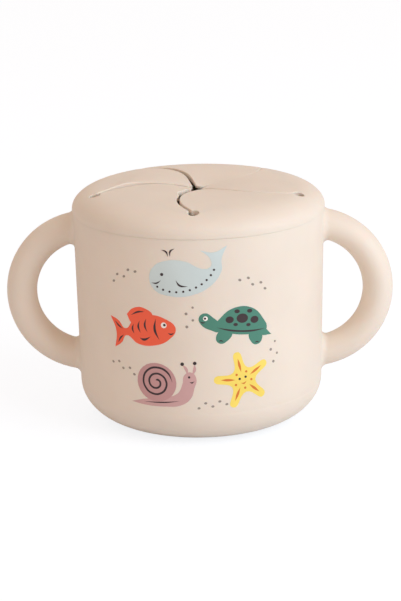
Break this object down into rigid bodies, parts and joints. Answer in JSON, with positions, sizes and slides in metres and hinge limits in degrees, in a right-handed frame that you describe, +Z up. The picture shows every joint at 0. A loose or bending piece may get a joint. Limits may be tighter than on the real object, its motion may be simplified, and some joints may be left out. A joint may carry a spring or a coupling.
{
  "type": "toddler snack cup",
  "caption": "Two-handled round snack cup of soft silicone, with a push-on lid slit into a pinwheel of petals that a small hand pushes through.",
  "frame": {"origin": "centre of the cup's foot, on the surface that the cup stands on", "axes": "+Z up along the cup's axis, X through both handles, -Y towards the viewer of the picture"},
  "size_m": [0.145, 0.094, 0.0884],
  "materials": {
    "cup_silicone": "matte soft silicone, warm cream",
    "lid_silicone": "matte soft silicone, warm cream"
  },
  "bodies": {
    "cup": {"cup_body": "cup_silicone", "handle_left": "cup_silicone", "handle_right": "cup_silicone"},
    "lid": {"lid_rim": "lid_silicone", "lid_plug": "lid_silicone"},
    "petal_front_left": {"petal_front_left": "lid_silicone"},
    "petal_front_right": {"petal_front_right": "lid_silicone"},
    "petal_right": {"petal_right": "lid_silicone"},
    "petal_back": {"petal_back": "lid_silicone"},
    "petal_left": {"petal_left": "lid_silicone"}
  },
  "joints": [
    {"name": "lid_lift", "type": "slide", "parent": "cup", "child": "lid", "axis": [0, 0, 1], "range_m": [0, 0.045]},
    {"name": "petal_front_right_bend", "type": "hinge", "parent": "lid", "child": "petal_front_right", "pos_m": [0.01773, -0.02629, 0.0861], "axis": [-0.829, -0.5592, 0], "range_deg": [-60, 70], "stiffness_Nm_per_rad": 0.02},
    {"name": "petal_right_bend", "type": "hinge", "parent": "lid", "child": "petal_right", "pos_m": [0.03049, 0.00874, 0.0861], "axis": [0.2756, -0.9613, 0], "range_deg": [-60, 70], "stiffness_Nm_per_rad": 0.02},
    {"name": "petal_back_bend", "type": "hinge", "parent": "lid", "child": "petal_back", "pos_m": [0.00111, 0.03169, 0.0861], "axis": [0.9994, -0.0349, 0], "range_deg": [-60, 70], "stiffness_Nm_per_rad": 0.02},
    {"name": "petal_left_bend", "type": "hinge", "parent": "lid", "child": "petal_left", "pos_m": [-0.0298, 0.01085, 0.0861], "axis": [0.342, 0.9397, 0], "range_deg": [-60, 70], "stiffness_Nm_per_rad": 0.02},
    {"name": "petal_front_left_bend", "type": "hinge", "parent": "lid", "child": "petal_front_left", "pos_m": [-0.01953, -0.02499, 0.0861], "axis": [-0.788, 0.6157, 0], "range_deg": [-60, 70], "stiffness_Nm_per_rad": 0.02}
  ]
}
